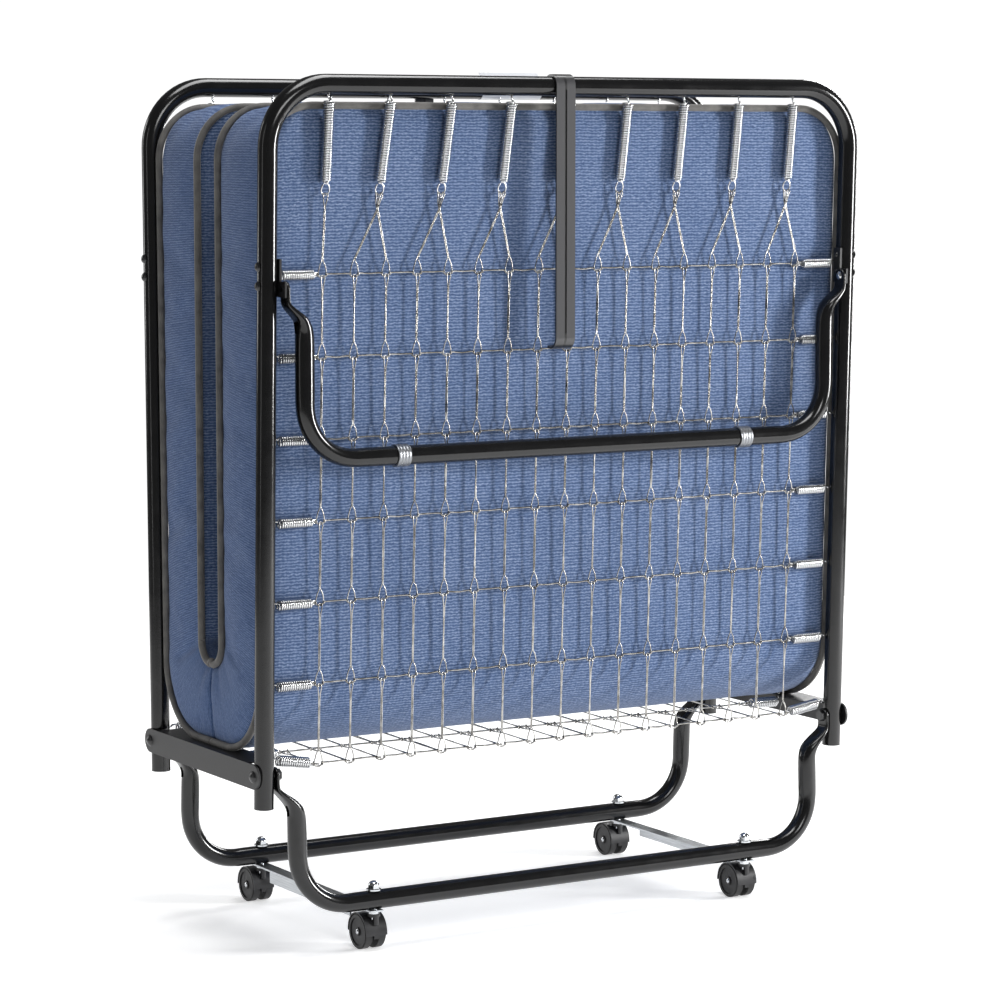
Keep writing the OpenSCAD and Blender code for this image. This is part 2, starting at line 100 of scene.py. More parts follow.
def addNode(tree, kind, links=None, inputs=None, **settings):
    node = tree.nodes.new(kind)
    for key, value in settings.items():
        setattr(node, key, value)
    for key, value in (inputs or {}).items():
        node.inputs[key].default_value = value
    for key, source in (links or {}).items():
        tree.links.new(source, node.inputs[key])
    return node


def newMaterial(name, color, roughness, metallic=0.0, **extra):
    material = bpy.data.materials.new(name)
    material.use_nodes = True
    tree = material.node_tree
    shader = tree.nodes["Principled BSDF"]
    shader.inputs["Base Color"].default_value = toLinear(color)
    shader.inputs["Roughness"].default_value = roughness
    shader.inputs["Metallic"].default_value = metallic
    for key, value in extra.items():
        shader.inputs[key.replace("_", " ")].default_value = value
    return material, tree, shader


def rampOf(tree, source, stops, smooth=False):
    ramp = addNode(tree, "ShaderNodeValToRGB", {"Fac": source})
    ramp.color_ramp.interpolation = "EASE" if smooth else "LINEAR"
    while len(ramp.color_ramp.elements) < len(stops):
        ramp.color_ramp.elements.new(0.5)
    for element, (place, color) in zip(ramp.color_ramp.elements, stops):
        element.position = place
        element.color = toLinear(color) if isinstance(color, str) else (color, color, color, 1)
    return ramp.outputs["Color"]


def mixOf(tree, first, second, share):
    return addNode(tree, "ShaderNodeMix", {2: first, 3: second}, {0: share}, data_type="FLOAT").outputs[0]


def mmNoise(tree, perMetre, detail=3.0, stretch=(1, 1, 1), output="Object"):
    coordinates = addNode(tree, "ShaderNodeTexCoord")
    mapping = addNode(tree, "ShaderNodeMapping", {"Vector": coordinates.outputs[output]}, {"Scale": stretch})
    return addNode(tree, "ShaderNodeTexNoise", {"Vector": mapping.outputs["Vector"]},
                   {"Scale": perMetre, "Detail": detail}).outputs["Fac"]


def addBump(tree, shader, height, strength, distance):
    bump = addNode(tree, "ShaderNodeBump", {"Height": height}, {"Strength": strength, "Distance": distance})
    tree.links.new(bump.outputs["Normal"], shader.inputs["Normal"])


materials = {}


def glossTubePaint():
    # baked gloss enamel on steel tube: deep black, one long clean highlight, faint orange peel
    material, tree, shader = newMaterial("black_baked_enamel_tube", "#0b0b0c", 0.16, Specular_IOR_Level=0.55)
    wear = mmNoise(tree, 45, 4)
    tree.links.new(rampOf(tree, wear, [(0.3, 0.13), (0.7, 0.2)]), shader.inputs["Roughness"])
    addBump(tree, shader, mmNoise(tree, 260, 2), 0.06, 0.0003)
    return material


def satinPlatePaint():
    # the same black on pressed plate: duller, so broad faces go dark grey
    material, tree, shader = newMaterial("black_satin_enamel_plate", "#18181a", 0.42, Specular_IOR_Level=0.5)
    addBump(tree, shader, mmNoise(tree, 320, 3), 0.15, 0.0004)
    return material


def blackBolt():
    # blackened bolt heads: small dents catch the light
    material, tree, shader = newMaterial("black_oxide_bolt", "#151517", 0.28, Coat_Weight=0.25)
    addBump(tree, shader, mmNoise(tree, 420, 2), 0.4, 0.0006)
    return material


def zincBar():
    # rolled zinc-plated angle: bright satin with drawn streaks across the object
    material, tree, shader = newMaterial("zinc_plated_angle", "#c6c9cc", 0.32, 1.0)
    streaks = mmNoise(tree, 30, 5, (40, 1, 40))
    tree.links.new(rampOf(tree, streaks, [(0.3, "#aeb2b6"), (0.7, "#d3d6d9")]), shader.inputs["Base Color"])
    tree.links.new(rampOf(tree, streaks, [(0.3, 0.26), (0.75, 0.42)]), shader.inputs["Roughness"])
    return material


def zincBright():
    # bright zinc nuts and collars, lightly pebbled
    material, tree, shader = newMaterial("bright_zinc_plate", "#cfd2d5", 0.16, 1.0)
    addBump(tree, shader, mmNoise(tree, 500, 2), 0.15, 0.0003)
    return material


def springWire():
    # galvanised drawn wire: grey steel with bright and dull stretches
    material, tree, shader = newMaterial("galvanised_spring_wire", "#a3a19e", 0.24, 1.0)
    dull = mmNoise(tree, 90, 4)
    tree.links.new(rampOf(tree, dull, [(0.35, "#83817d"), (0.62, "#b9b7b3")]), shader.inputs["Base Color"])
    tree.links.new(rampOf(tree, dull, [(0.3, 0.18), (0.7, 0.32)]), shader.inputs["Roughness"])
    return material


def coilWire():
    # bright plated coil wire, a little lighter than the links
    material, tree, shader = newMaterial("bright_coil_wire", "#d2d3d4", 0.18, 1.0)
    dull = mmNoise(tree, 140, 3)
    tree.links.new(rampOf(tree, dull, [(0.3, 0.12), (0.7, 0.26)]), shader.inputs["Roughness"])
    return material


def wovenCover(name, weave, dark, mid, light):
    # polypropylene cover cloth: soft ribs across the bed, broken up by slubby yarn
    material, tree, shader = newMaterial(name, mid, 0.85, Specular_IOR_Level=0.2, Sheen_Weight=0.12,
                                         Sheen_Roughness=0.5)
    uv = addNode(tree, "ShaderNodeTexCoord").outputs["UV"]
    ribs = addNode(tree, "ShaderNodeTexWave", {"Vector": uv},
                   {"Scale": 0.314 / weave["rib"], "Distortion": 4.0, "Detail": 3.0, "Detail Scale": 2.2},
                   bands_direction="Y").outputs["Fac"]
    warp = addNode(tree, "ShaderNodeTexWave", {"Vector": uv},
                   {"Scale": 0.314 / weave["end"], "Distortion": 6.0, "Detail": 2.0, "Detail Scale": 1.8},
                   bands_direction="X").outputs["Fac"]
    stretched = addNode(tree, "ShaderNodeMapping", {"Vector": uv}, {"Scale": weave["slub"]})
    slubs = addNode(tree, "ShaderNodeTexNoise", {"Vector": stretched.outputs["Vector"]},
                    {"Scale": 1.0, "Detail": 4.0, "Roughness": 0.7}).outputs["Fac"]
    cloud = addNode(tree, "ShaderNodeTexNoise", {"Vector": uv}, {"Scale": 9.0, "Detail": 3.0}).outputs["Fac"]
    cloth = mixOf(tree, mixOf(tree, ribs, warp, weave["cross"]), slubs, 0.64)
    shade = rampOf(tree, mixOf(tree, cloth, cloud, 0.14), [(0.26, dark), (0.5, mid), (0.72, light)])
    tree.links.new(shade, shader.inputs["Base Color"])
    addBump(tree, shader, cloth, weave["bump"], weave["depth"])
    return material


def pipingTape():
    # grey-brown bias binding round the welt
    material, tree, shader = newMaterial("grey_bias_piping", "#5a5957", 0.7, Specular_IOR_Level=0.3,
                                         Sheen_Weight=0.2)
    addBump(tree, shader, mmNoise(tree, 700, 2), 0.5, 0.0006)
    tree.links.new(rampOf(tree, mmNoise(tree, 60, 3), [(0.3, "#4b4a49"), (0.7, "#686663")]),
                   shader.inputs["Base Color"])
    return material


def braceStrip():
    # painted strip steel, satin grey-black: front faces painted lighter grey as painted sheen, edges and
    # groove near black as painted shade
    material, tree, shader = newMaterial("satin_strip_painted_sheen_and_shade", "#2c2c2e", 0.34, Coat_Weight=0.3)
    coordinates = addNode(tree, "ShaderNodeTexCoord")
    parts = addNode(tree, "ShaderNodeSeparateXYZ", {"Vector": coordinates.outputs["Normal"]})
    sheenByFacing = addNode(tree, "ShaderNodeMath", {0: parts.outputs["Y"]}, operation="ABSOLUTE")
    where = addNode(tree, "ShaderNodeSeparateXYZ", {"Vector": coordinates.outputs["Object"]})
    away = addNode(tree, "ShaderNodeMath", {0: where.outputs["X"]}, {1: 0.019}, operation="ADD")
    away = addNode(tree, "ShaderNodeMath", {0: away.outputs[0]}, operation="ABSOLUTE")
    grooveShadeMask = addNode(tree, "ShaderNodeMath", {0: away.outputs[0]}, {1: 0.0015}, operation="GREATER_THAN")
    front = addNode(tree, "ShaderNodeMath", {0: sheenByFacing.outputs[0], 1: grooveShadeMask.outputs[0]},
                    operation="MULTIPLY")
    # lighter grey on front faces outside the groove is painted sheen; near black on the edges and in the
    # groove is painted shade
    tree.links.new(rampOf(tree, front.outputs[0], [(0.6, "#131314"), (0.95, "#3a3a3c")]),
                   shader.inputs["Base Color"])
    addBump(tree, shader, mmNoise(tree, 300, 2), 0.1, 0.0004)
    return material


def mouldedPlastic(name, color, roughness, grain, strength):
    # injection-moulded plastic: fine spark-eroded grain breaks the highlight
    material, tree, shader = newMaterial(name, color, roughness, Specular_IOR_Level=0.45)
    addBump(tree, shader, mmNoise(tree, grain, 3), strength, 0.0004)
    tree.links.new(rampOf(tree, mmNoise(tree, 80, 3), [(0.3, roughness - 0.07), (0.7, roughness + 0.1)]),
                   shader.inputs["Roughness"])
    return material


def clipSteel():
    # pressed grey clip with fine ribs round the bar
    material, tree, shader = newMaterial("pressed_grey_clip", "#85878a", 0.36, 0.85)
    coordinates = addNode(tree, "ShaderNodeTexCoord")
    ribs = addNode(tree, "ShaderNodeTexWave", {"Vector": coordinates.outputs["Object"]},
                   {"Scale": 80.0, "Distortion": 0.2}, bands_direction="X")
    addBump(tree, shader, ribs.outputs["Fac"], 0.5, 0.0008)
    return material


def labelFilm():
    # blank clear-coated film
    material, tree, shader = newMaterial("blank_label_film", "#d9dadc", 0.22, Coat_Weight=0.4)
    addBump(tree, shader, mmNoise(tree, 40, 2), 0.2, 0.001)
    return material


materials["frame_black"] = glossTubePaint()
materials["satin_plate"] = satinPlatePaint()
materials["black_bolt"] = blackBolt()
materials["zinc_bar"] = zincBar()
materials["zinc_bright"] = zincBright()
materials["spring_wire"] = springWire()
materials["coil"] = coilWire()
faceWeave = {"rib": 0.0035, "end": 0.0048, "cross": 0.18, "slub": (170, 330, 1), "bump": 0.4, "depth": 0.001}
borderWeave = {"rib": 0.0028, "end": 0.006, "cross": 0.1, "slub": (60, 420, 1), "bump": 0.5, "depth": 0.001}
materials["mattress_fabric"] = wovenCover("woven_blue_cover", faceWeave, "#2b3e60", "#4c6083", "#808eaa")
materials["mattress_border"] = wovenCover("ribbed_blue_border", borderWeave, "#2c4269", "#475d86", "#7083a5")
materials["piping"] = pipingTape()
# near-black tubes laid on the leg necks: painted shade inside the vent slots
materials["slot_dark"] = newMaterial("painted_shade_slot_inside", "#040404", 0.9, Specular_IOR_Level=0.0)[0]
materials["brace_strip"] = braceStrip()
materials["black_plastic"] = mouldedPlastic("moulded_end_plug", "#131314", 0.42, 500, 0.3)
materials["caster_plastic"] = mouldedPlastic("moulded_caster_hood", "#202022", 0.34, 600, 0.2)
materials["wheel_plastic"] = mouldedPlastic("moulded_wheel_tread", "#1a1a1b", 0.45, 500, 0.3)
materials["grey_clip"] = clipSteel()
materials["label_film"] = labelFilm()

for part in frame["record"]["subparts"]:
    node = frame["nodes"][part["node"]]
    node.data.materials.clear()
    plate = "bracket" in part["node"] or "plates" in part["node"]
    node.data.materials.append(materials["satin_plate" if plate else part["material_slot"]])
print("materials done")


# wire and mesh helpers


class tubeSet:
    def __init__(self):
        self.points, self.faces, self.count = [], [], 0

    def sweep(self, path, radius, around=7):
        path = np.array([tuple(p) for p in path], float)
        total = len(path)
        tangents = np.gradient(path, axis=0)
        tangents /= np.linalg.norm(tangents, axis=1)[:, None]
        normal = np.cross(tangents[0], (0.31, 0.87, 0.39))
        normal /= np.linalg.norm(normal)
        angles = np.arange(around) * 2 * math.pi / around
        rings = np.empty((total, around, 3))
        for i in range(total):
            normal = normal - tangents[i] * normal.dot(tangents[i])
            normal /= np.linalg.norm(normal)
            other = np.cross(tangents[i], normal)
            r = radius[i] if hasattr(radius, "__len__") else radius
            rings[i] = path[i] + r * (np.cos(angles)[:, None] * normal + np.sin(angles)[:, None] * other)
        self.points.append(rings.reshape(-1, 3))
        base = self.count
        for i in range(total - 1):
            a, b = base + i * around, base + (i + 1) * around
            for k in range(around):
                n = (k + 1) % around
                self.faces.append((a + k, a + n, b + n, b + k))
        self.faces.append(tuple(base + k for k in reversed(range(around))))
        self.faces.append(tuple(base + (total - 1) * around + k for k in range(around)))
        self.count += total * around

    def build(self, name, material):
        mesh = bpy.data.meshes.new(name)
        mesh.from_pydata(np.concatenate(self.points).tolist(), [], self.faces)
        mesh.validate()
        for polygon in mesh.polygons:
            polygon.use_smooth = True
        mesh.materials.append(material)
        piece = bpy.data.objects.new(name, mesh)
        scene.collection.objects.link(piece)
        return piece


def smoothPath(points, steps=4):  # Catmull-Rom
    points = [Vector(p) for p in points]
    total = len(points)
    result = []
    for i in range(total - 1):
        p0, p1, p2, p3 = points[max(i - 1, 0)], points[i], points[i + 1], points[min(i + 2, total - 1)]
        for k in range(steps):
            t = k / steps
            result.append(0.5 * (2 * p1 + (p2 - p0) * t + (2 * p0 - 5 * p1 + 4 * p2 - p3) * t * t
                                 + (3 * p1 - p0 - 3 * p2 + p3) * t ** 3))
    result.append(points[-1])
    return result


# link springs

wire = {
    "cross": 1.05, "strand": 0.75, "strandGap": 0.75, "fork": 15.5, "foot": 5, "eye": 1.9, "dip": 3,
    "loop": 2.3, "crossEnd": 329.2, "eyeTurn": (310, 250, 190, 130, 70, 10),
}
across = Vector((1, 0, 0))
linkX = [(i - (layout["linkCount"] - 1) / 2) * layout["linkPitch"] for i in range(layout["linkCount"])]
rowZ = [layout["rowBase"] + i * layout["rowPitch"] for i in range(layout["rowCount"])]


# one link: hooked loop at the top, two strands, forked feet with eyes
def hairpin(tubes, top, foot, out, twist=0.0):
    along = (foot - top).normalized()
    length = (foot - top).length * 1000
    gap = wire["strandGap"]

    def at(down, sideways, forward):
        return top + (along * down + across * sideways + out * forward) / 1000

    halves = []
    for sign in (-1, 1):
        eye = [foot + (across * sign * wire["foot"]
                       + wire["eye"] * (-math.cos(a) * along + math.sin(a) * out)) / 1000
               for a in map(math.radians, wire["eyeTurn"])]
        lean = twist * sign
        halves.append(eye + [
            at(length - 6, sign * 4.3, 0.6),
            at(length - 11, sign * 2.9, 0.7),
            at(length - wire["fork"], sign * gap * 0.9, 0.5),
            at(length - wire["fork"] - 6, sign * gap * 0.95, 0.5 + lean * 0.3),
            at(length * 0.5, sign * gap * (1 - abs(twist) * 0.35), 0.8 + lean * 0.6),
            at(17, sign * gap, 1.2),
            at(10, sign * wire["loop"] * 0.62, 1.6),
            at(wire["dip"] + 1.5, sign * wire["loop"], 2.0),
            at(wire["dip"] - 1.6, sign * wire["loop"] * 0.75, 1.2),
        ])
    tip = [at(wire["dip"] - 2.2, 0, 0.2)]
    tubes.sweep(smoothPath(halves[0] + tip + halves[1][::-1], 2), wire["strand"] / 1000, 6)


# place(x, drop) gives a point of the wire
def crossWire(tubes, place):
    points = [place(-wire["crossEnd"], 0)]
    for x in linkX:
        bow = random.uniform(-0.5, 0.9)
        if x > linkX[0]:
            points += [place(x - layout["linkPitch"] / 2, bow)]
        points += [place(x - 8, 0.6), place(x - 5.6, 0), place(x - 2.5, -wire["dip"]),
                   place(x + 2.5, -wire["dip"]), place(x + 5.6, 0), place(x + 8, 0.6)]
    points.append(place(wire["crossEnd"], 0))
    tubes.sweep(smoothPath(points, 2), wire["cross"] / 1000, 7)


for side in sides:
    up, out = frameAxes(side)
    tubes = tubeSet()
    for row, z in enumerate(rowZ):
        crossWire(tubes, lambda x, drop: onFrame(side, x, layout["deck"], z + drop))
        if row == 0:
            continue
        for x in linkX:
            top = onFrame(side, x, layout["deck"], z)
            foot = onFrame(side, x, layout["deck"], z - layout["rowPitch"])
            hairpin(tubes, top, foot, out, random.uniform(-1, 1))
    piece = tubes.build(side + "_link_wires", materials["spring_wire"])
    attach(piece, side)
    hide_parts(side + "_links")

centreZ = layout["pivotHeight"] + layout["rowBase"]
centreRows = [-layout["pivotGap"] / 2 + 6.5, -layout["pivotGap"] / 6, layout["pivotGap"] / 6,
              layout["pivotGap"] / 2 - 6.5]
tubes = tubeSet()
for y in centreRows[1:3]:
    crossWire(tubes, lambda x, drop: Vector((x, y - drop, centreZ)) / 1000)
for near, far in zip(centreRows, centreRows[1:]):
    for x in linkX:
        top, foot = Vector((x, near, centreZ)) / 1000, Vector((x, far, centreZ)) / 1000
        hairpin(tubes, top, foot, Vector((0, 0, -1)), random.uniform(-1, 1))
piece = tubes.build("centre_link_wires", materials["spring_wire"])
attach(piece, "base")
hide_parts("centre_links")
print("links done")


# coil springs

coil = {"radius": 5.5, "wire": 1.15, "pitch": 1.2, "perTurn": 12}


def springWirePath(lead, start, end, tail):
    axis = (end - start).normalized()
    length = (end - start).length * 1000
    first = axis.cross(Vector((0, 1, 0.2))).normalized()
    second = axis.cross(first)
    turns = length / (2 * coil["wire"] * coil["pitch"])
    total = int(turns * coil["perTurn"])
    points = [Vector(p) for p in lead]
    for i in range(total + 1):
        t = i / total
        a = 2 * math.pi * turns * t
        edge = min(1, 0.25 + min(i, total - i) / (coil["perTurn"] * 0.6))
        r = coil["radius"] * edge / 1000
        points.append(start.lerp(end, t) + r * (math.cos(a) * first + math.sin(a) * second))
    return points + [Vector(p) for p in tail]


headCount = (layout["linkCount"] + 1) // 2
headX = [layout["postGap"] * ((i + 1) / (headCount + 1) - 0.5) for i in range(headCount)]
barUnder = layout["frameHeight"] - layout["tubeRadius"]
head = {"top": 742, "coil": 89, "eyeHeight": rowZ[-1] + 14}


def pairX(i):
    return linkX[0] if i == 0 else (linkX[2 * i - 1] + linkX[2 * i]) / 2


def headLine(i, z):
    share = (barUnder - z) / (barUnder - head["eyeHeight"])
    return headX[i] + (pairX(i) - headX[i]) * share


for side in sides:
    up, out = frameAxes(side)
    springs, links = tubeSet(), tubeSet()

    def at(x, z, forward=0.0):
        return onFrame(side, x, layout["deck"], z) + out * forward / 1000

    for i in range(headCount):
        low = head["top"] - head["coil"]
        start, end = at(headLine(i, head["top"]), head["top"]), at(headLine(i, low), low)
        hx = headX[i]
        lead = [at(hx + 0.4, barUnder + 5), at(hx, barUnder + 1), at(hx - 1.4, barUnder - 1.4),
                at(hx - 0.4, barUnder - 4.2)]
        springs.sweep(springWirePath(smoothPath(lead, 3), start, end, []), coil["wire"] / 1000, 6)
        ringMiddle = low - 7.5
        cx = headLine(i, ringMiddle)
        ring = [at(cx + 5 * math.sin(a), ringMiddle + 6.6 * math.cos(a), 1.2 * math.cos(a))
                for a in [math.radians(k) for k in range(-12, 325, 21)]]
        springs.sweep(smoothPath([at(headLine(i, low + 1) - 3, low + 1)] + ring, 2), 0.95 / 1000, 7)
        bar, cross = ringMiddle - 6.2, low - 27
        bx, px = headLine(i, bar), headLine(i, cross)
        for k in ([0] if i == 0 else [2 * i - 1, 2 * i]):
            x = linkX[k]
            forkZ = rowZ[-1] + wire["fork"]
            turnTo = 0 if i == 0 else (1 if k % 2 else -1)
            for sign in (-1, 1):
                eye = [at(x + sign * wire["foot"], rowZ[-1] + wire["eye"] * math.cos(a),
                          wire["eye"] * math.sin(a))
                       for a in map(math.radians, wire["eyeTurn"])]
                gap = sign * wire["strandGap"]
                wide = 3.4 if i == 0 else 1.6
                hook = turnTo * 2.9
                leg = eye + [at(x + sign * 4.3, rowZ[-1] + 6, 0.6), at(x + sign * 2.9, rowZ[-1] + 11, 0.6),
                             at(x + gap, forkZ, 0.4), at(x + gap + (px - x) * 0.1, forkZ + 6, 0.4),
                             at(px + gap * 1.1 - turnTo * 0.5, cross - 3, 0.5 + turnTo * 0.7),
                             at(px + gap * 1.1 + hook * 0.2, cross + 2, 0.5 + turnTo * 0.7),
                             at(bx + sign * wide * 0.9 + hook, bar - 0.6, 1.4),
                             at(bx + sign * wide * 0.7 + hook, bar + 1.6, 0.2),
                             at(bx + hook, bar + 1.9, -0.8)]
                links.sweep(smoothPath(leg, 2), wire["strand"] / 1000, 6)
    piece = springs.build(side + "_long_coils", materials["coil"])
    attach(piece, side)
    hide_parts(side + "_head_springs")
    piece = links.build(side + "_head_wires", materials["spring_wire"])
    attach(piece, side)
    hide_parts(side + "_head_links")

    short = tubeSet()
    postX = layout["postGap"] / 2
    hookX = postX - math.sqrt(layout["tubeRadius"] ** 2 - layout["deck"] ** 2)
    outer, inner = postX - layout["tubeRadius"] - 7.5, postX - layout["tubeRadius"] - 48.5
    for z in rowZ:
        lift = z + 8 if z < 8 else z
        for sign in (-1, 1):
            lead = [at(sign * (hookX + 2), lift + 0.5), at(sign * (hookX - 1.5), lift + 0.4),
                    at(sign * (hookX - 3.5), lift + 2.2), at(sign * (outer + 1.5), lift + 2.4)]
            tail = [at(sign * (inner - 1.5), z + 1.8), at(sign * (inner - 4.5), z + 2.2, -1),
                    at(sign * (inner - 7), z + 0.4, -1.4), at(sign * (inner - 5), z - 1.9, -0.6),
                    at(sign * (inner - 2), z - 1.2, 0.4)]
            path = springWirePath(smoothPath(lead, 3), at(sign * outer, lift),
                                  at(sign * inner, z + (lift - z) * 0.2), smoothPath(tail, 3))
            short.sweep(path, coil["wire"] / 1000, 6)
    piece = short.build(side + "_short_coils", materials["coil"])
    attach(piece, side)
    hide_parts(side + "_side_springs")

tubes = tubeSet()
low = centreZ - 1.2
for sign in (-1, 1):
    for y in centreRows[1:3]:
        holeX = postX + layout["tubeRadius"] + 0.2 + 2.5 - 35 + 5
        here = [Vector((sign * x, y, z)) / 1000 for x, z in
                ((holeX - 2.2, 227.2), (holeX - 0.6, 228.9), (holeX, 226), (holeX, 221),
                 (holeX - 1.5, low + 0.6))]
        tail = [Vector((sign * x, y + d, z)) / 1000 for x, d, z in
                ((inner - 2, 0, centreZ + 1.6), (inner - 5, 1, centreZ + 1.8), (inner - 7, 1, centreZ - 0.4),
                 (inner - 4, 0, centreZ - 2))]
        path = springWirePath(smoothPath(here, 3), Vector((sign * (outer - 0.5), y, low)) / 1000,
                              Vector((sign * inner, y, centreZ - 0.6)) / 1000, smoothPath(tail, 3))
        tubes.sweep(path, coil["wire"] / 1000, 6)
piece = tubes.build("centre_coils", materials["coil"])
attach(piece, "base")
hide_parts("centre_springs")
print("springs done")


# legs

leg = {
    "x": 350, "bend": 60, "tabHalf": 9.5, "tabThick": 2, "oval": 0.9,
    "baseDrop": 153.63, "baseTab": 375.7, "splay": 6.4, "splayDrop": 153.5,
    "endDrop": 187.23, "endTab": 373.2, "endSet": -13, "endPivot": 538.6,
}


# U leg in one tube: flattened ends, creased necks, two bends and a bar, mm
def legTube(name, pivot, down, drop, tabX):
    stations = []  # x, down, half thickness in the leg's plane, half width across it, squareness
    tab = leg["tabThick"]
    for share in (0.02, 0.35, 0.62, 0.82, 0.94, 1.0):
        reach = leg["tabHalf"] * math.sqrt(max(0, 1 - (1 - share) ** 2))
        stations.append((tabX, -leg["tabHalf"] * (1 - share), tab, max(reach, 1.2), 0.45))
    stations += [(tabX, 7, tab, 9.5, 0.45), (tabX, 13.5, tab * 1.05, 9.6, 0.45),
                 (tabX - 1.4, 17.5, tab * 1.3, 10.2, 0.5), (tabX - 6.5, 22.5, tab * 1.7, 11.6, 0.6),
                 (tabX - 13, 28, tab * 2.3, 12.3, 0.7),
                 (tabX - 19, 33.5, tab * 3.2, 12.4, 0.8), (leg["x"] + 2.6, 39, 8.8, 12.1, 0.9),
                 (leg["x"] + 0.4, 45, 10.1, 11.5, 1), (leg["x"], 53, 10.8, 11.1, 1)]
    straight = drop - leg["bend"]
    stations += [(leg["x"], d, 11, 11, 1) for d in np.linspace(62, max(66, straight - 4), 4)]
    for i in range(11):
        a = math.pi / 2 * i / 10
        squeeze = math.sin(2 * a) ** 0.5 if 0 < i < 10 else 0.55
        stations.append((leg["x"] - leg["bend"] * (1 - math.cos(a)), straight + leg["bend"] * math.sin(a),
                         11 - leg["oval"] * squeeze, 11 + 0.4 * squeeze, 1))
    stations.append((leg["x"] - leg["bend"] - 3, drop, 10.6, 11.2, 1))
    stations.append((leg["x"] - leg["bend"] - 7, drop, 11, 11, 1))
    stations += [(x, drop, 11, 11, 1) for x in (200, 100, 0)]
    stations += [(-x, d, a, b, c) for x, d, a, b, c in stations[-2::-1]]
    down = Vector(down).normalized()
    flat = down.cross(across).normalized()
    around, points, faces = 28, [], []
    for i, (x, d, half, wide, square) in enumerate(stations):
        before, after = stations[max(i - 1, 0)], stations[min(i + 1, len(stations) - 1)]
        run = (across * (after[0] - before[0]) + down * (after[1] - before[1])).normalized()
        inPlane = run.cross(flat)
        centre = Vector(pivot) + across * x + down * d
        for k in range(around):
            a = 2 * math.pi * k / around
            c, q = math.cos(a), math.sin(a)
            c = math.copysign(abs(c) ** square, c)
            q = math.copysign(abs(q) ** square, q)
            points.append((centre + inPlane * half * c + flat * wide * q) / 1000)
    for i in range(len(stations) - 1):
        for k in range(around):
            n = (k + 1) % around
            faces.append((i * around + k, i * around + n, (i + 1) * around + n, (i + 1) * around + k))
    faces.append(tuple(reversed(range(around))))
    faces.append(tuple((len(stations) - 1) * around + k for k in range(around)))
    mesh = bpy.data.meshes.new(name)
    mesh.from_pydata(points, [], faces)
    mesh.materials.append(materials["frame_black"])
    piece = bpy.data.objects.new(name, mesh)
    scene.collection.objects.link(piece)
    for polygon in mesh.polygons:
        polygon.use_smooth = len(polygon.vertices) == 4
    fine = piece.modifiers.new("finer", "SUBSURF")
    fine.levels = fine.render_levels = 1
    return piece


# vent slot on the outer side of each neck, drawn as a near-black tube: painted shade inside the slot
def legSlotShade(name, pivot, down):
    tubes = tubeSet()
    down = Vector(down).normalized()
    for sign in (-1, 1):
        line = [Vector(pivot) + across * sign * (leg["x"] + r) + down * d
                for d, r in ((36, 11.9), (39, 10.9), (42, 10.4), (45, 10.2), (48, 10.3))]
        tubes.sweep(smoothPath([p / 1000 for p in line], 3), 0.0017, 8)
    return tubes.build(name, materials["slot_dark"])


half = layout["pivotGap"] / 2
for side in sides:
    sign = -1 if side == "front" else 1
    basePivot = (0, sign * half, layout["pivotHeight"])
    endPivot = tuple(onFrame(side, 0, leg["endSet"], leg["endPivot"]) * 1000)
    legs = (
        ("base_leg_" + side, basePivot, (0, sign * leg["splay"], -leg["splayDrop"]), leg["baseDrop"],
         leg["baseTab"], "base"),
        (side + "_end_leg", endPivot, (0, 0, -1), leg["endDrop"], leg["endTab"], side + "_leg"),
    )
    for node, pivot, down, drop, tabX, body in legs:
        piece = legTube(node + "_tube", pivot, down, drop, tabX)
        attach(piece, body)
        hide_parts(node)
        piece = legSlotShade(node + "_slot_shade", pivot, down)
        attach(piece, body)
print("legs done")


# mattress

pad = {
    "halfWidth": 385, "slot": 23.5, "bottom": 15.2, "foldTop": 109, "foldRadius": 84, "corner": 58,
    "back": 13.6, "top": 735, "foldRows": 24, "wallRows": 40, "cornerRows": 9, "columns": 52, "thick": 9,
    "pipe": 4.2, "pipeOut": 1.6, "pipeUp": 0.9, "roll": 3.4, "rollReach": 16, "bulge": 1.5,
    "crown": {"outer": 0.8, "inner": 5.0, "border": 5.0},
    "side": 0.105, "sink": 0.001, "slide": 0.002,  # metres from here on
    "lumpSize": 14, "lump": {"outer": 0.0006, "inner": 0.0016, "border": 0.0016},
    "lumpLimit": {"outer": 0.0004, "inner": 0.002, "border": 0.002},
}


def smoothStep(t):
    t = max(0.0, min(1.0, t))
    return t * t * (3 - 2 * t)


# rows from the middle of the fold to the top: outer point, inner point, half width, mm
def halfRows(side):
    lean = math.radians(layout["lean"][side])
    height, half = layout["pivotHeight"], layout["pivotGap"] / 2

    def faceY(z):
        return half - pad["back"] / math.cos(lean) + (z - height) * math.tan(lean)

    low, slotZ, top = height + pad["bottom"], height + pad["foldTop"], height + pad["top"]
    flat = half - pad["back"] - pad["foldRadius"]
    arcTop = low + pad["foldRadius"]
    reach = faceY(arcTop) - flat
    rows = []
    for i in range(pad["foldRows"]):
        t = i / pad["foldRows"]
        run = t * (flat + reach * 1.571)
        if run < flat:
            outer = (run, low)
        else:
            a = (run - flat) / reach
            outer = (flat + reach * math.sin(a), arcTop - pad["foldRadius"] * math.cos(a))
        b = t * math.pi / 2
        inner = (pad["slot"] * math.sin(b), slotZ + pad["slot"] * (1 - math.cos(b)))
        rows.append((outer, inner, pad["halfWidth"]))
    turn = top - pad["corner"]
    for i in range(pad["wallRows"]):
        t = i / pad["wallRows"]
        zo, zi = arcTop + (turn - arcTop) * t, slotZ + pad["slot"] + (turn - slotZ - pad["slot"]) * t
        rows.append(((faceY(zo), zo), (pad["slot"], zi), pad["halfWidth"]))
    for i in range(pad["cornerRows"] + 1):
        a = math.pi / 2 * i / pad["cornerRows"]
        z = turn + pad["corner"] * math.sin(a)
        width = pad["halfWidth"] - pad["corner"] * (1 - math.cos(a))
        rows.append(((faceY(z), z), (pad["slot"], z), width))
    return rows


